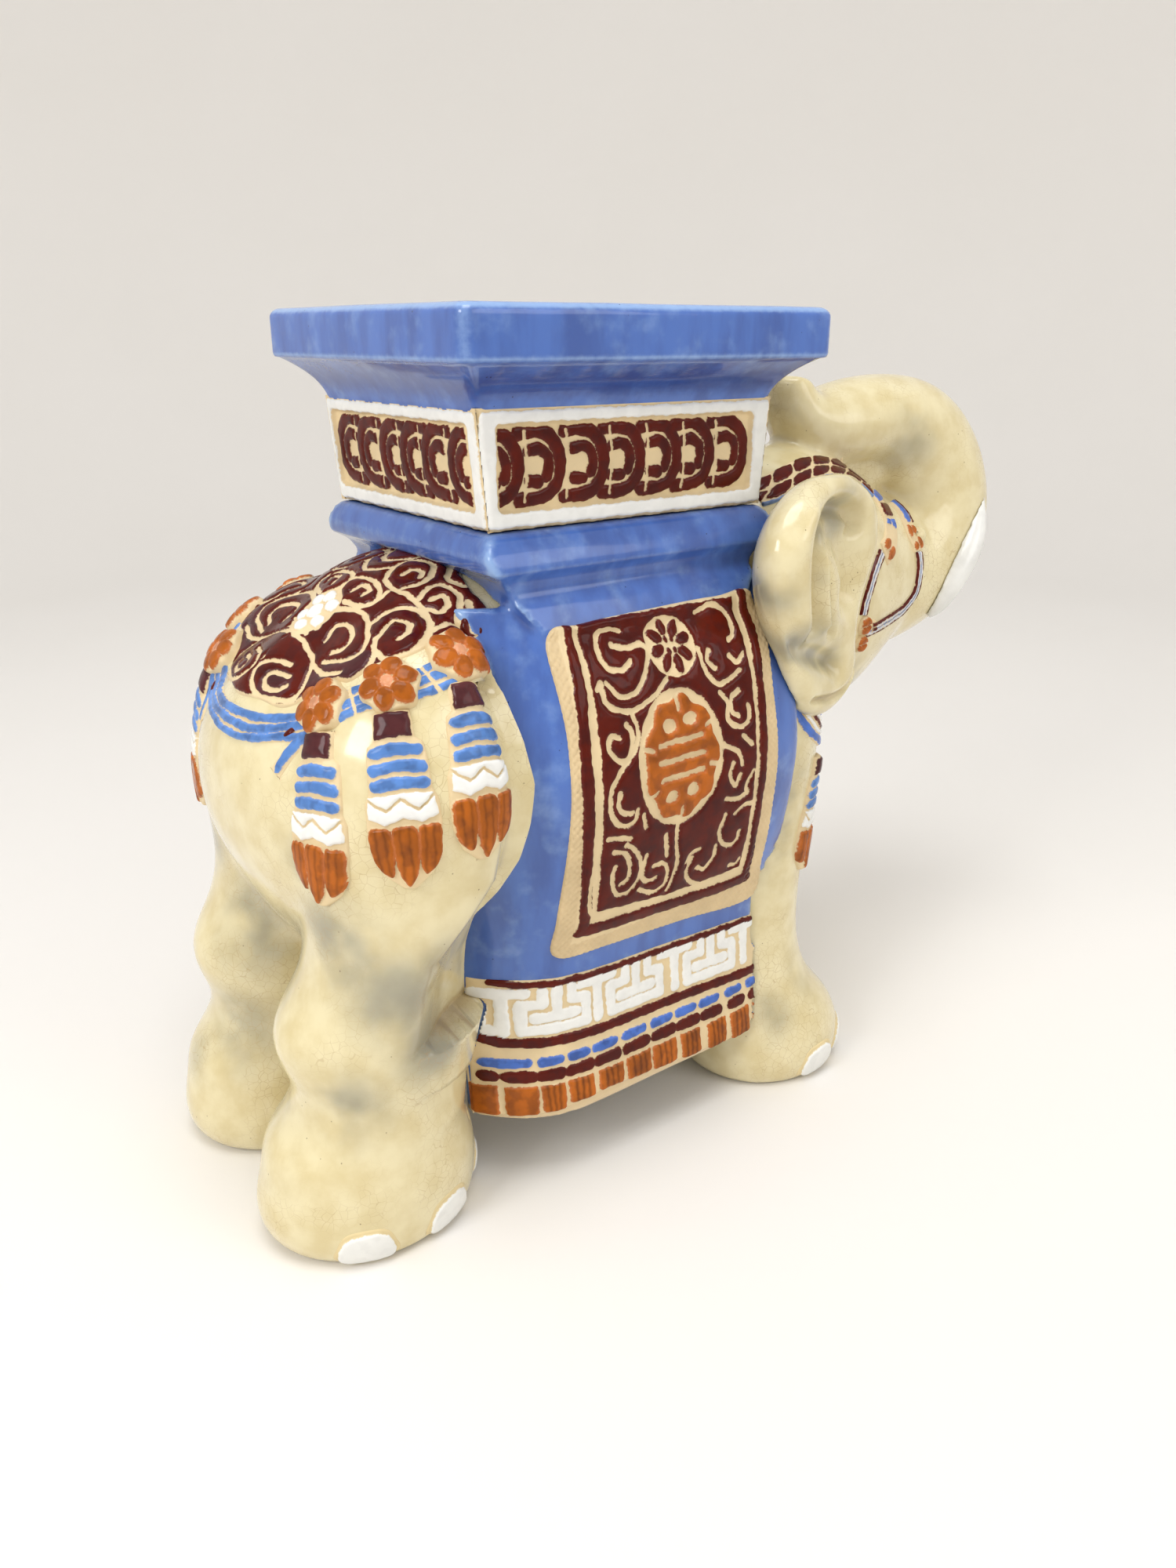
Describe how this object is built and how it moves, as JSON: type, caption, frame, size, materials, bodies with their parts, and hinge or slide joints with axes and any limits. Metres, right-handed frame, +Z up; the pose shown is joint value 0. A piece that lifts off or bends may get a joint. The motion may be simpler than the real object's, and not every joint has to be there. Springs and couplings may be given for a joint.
{
  "type": "elephant stool",
  "caption": "Glazed ceramic stool shaped as a standing elephant in ceremonial cloths, with a flat seat on a stepped plinth, used as a seat or side table.",
  "frame": {"origin": "middle of the whole stool seen from above, on the floor it stands on", "axes": "+X towards the elephant's head, +Y towards its left, +Z up"},
  "size_m": [0.5507, 0.2326, 0.42],
  "materials": {
    "cream_glaze": "clear crackled glaze over cream clay, with smoky grey patches",
    "blue_glaze": "glossy blue glaze, paler where it thins on edges",
    "white_glaze": "glossy white glaze",
    "red_brown_glaze": "glossy dark red-brown glaze in raised fields, cream clay between them",
    "orange_glaze": "glossy orange-brown glaze",
    "tan_clay": "thinly glazed clay with a pressed cross-hatch"
  },
  "bodies": {
    "root": {"bead_rows_left": "blue_glaze", "bead_rows_right": "blue_glaze", "body_shell": "cream_glaze", "bridle_beads_left": "orange_glaze", "bridle_beads_right": "orange_glaze", "bridle_left": "blue_glaze", "bridle_right": "blue_glaze", "brow_band_left": "red_brown_glaze", "brow_band_right": "red_brown_glaze", "chest_band": "red_brown_glaze", "cord_end_left": "blue_glaze", "cord_end_right": "blue_glaze", "crupper_cord": "blue_glaze", "ear_left": "cream_glaze", "ear_right": "cream_glaze", "eye_left": "red_brown_glaze", "eye_right": "red_brown_glaze", "flower_1_left": "orange_glaze", "flower_1_right": "orange_glaze", "flower_2_left": "orange_glaze", "flower_2_right": "orange_glaze", "flower_3_left": "orange_glaze", "flower_3_right": "orange_glaze", "fore_tassel_left": "orange_glaze", "fore_tassel_right": "orange_glaze", "fore_toenails_left": "white_glaze", "fore_toenails_right": "white_glaze", "frieze_box": "white_glaze", "frieze_panel_front": "red_brown_glaze", "frieze_panel_left": "red_brown_glaze", "frieze_panel_rear": "red_brown_glaze", "frieze_panel_right": "red_brown_glaze", "fringe_left": "orange_glaze", "fringe_right": "orange_glaze", "head_shell": "cream_glaze", "hind_toenails_left": "white_glaze", "hind_toenails_right": "white_glaze", "key_band_left": "white_glaze", "key_band_right": "white_glaze", "medallion_left": "orange_glaze", "medallion_right": "orange_glaze", "rug_border_left": "tan_clay", "rug_border_right": "tan_clay", "rug_field_left": "red_brown_glaze", "rug_field_right": "red_brown_glaze", "rump_cloth": "red_brown_glaze", "saddle_flap_left": "blue_glaze", "saddle_flap_right": "blue_glaze", "seat_slab": "blue_glaze", "stepped_plinth": "blue_glaze", "tassel_1_left": "orange_glaze", "tassel_1_right": "orange_glaze", "tassel_2_left": "orange_glaze", "tassel_2_right": "orange_glaze", "tassel_3_left": "orange_glaze", "tassel_3_right": "orange_glaze", "trunk": "cream_glaze", "tusk_left": "white_glaze", "tusk_right": "white_glaze"}
  },
  "joints": []
}
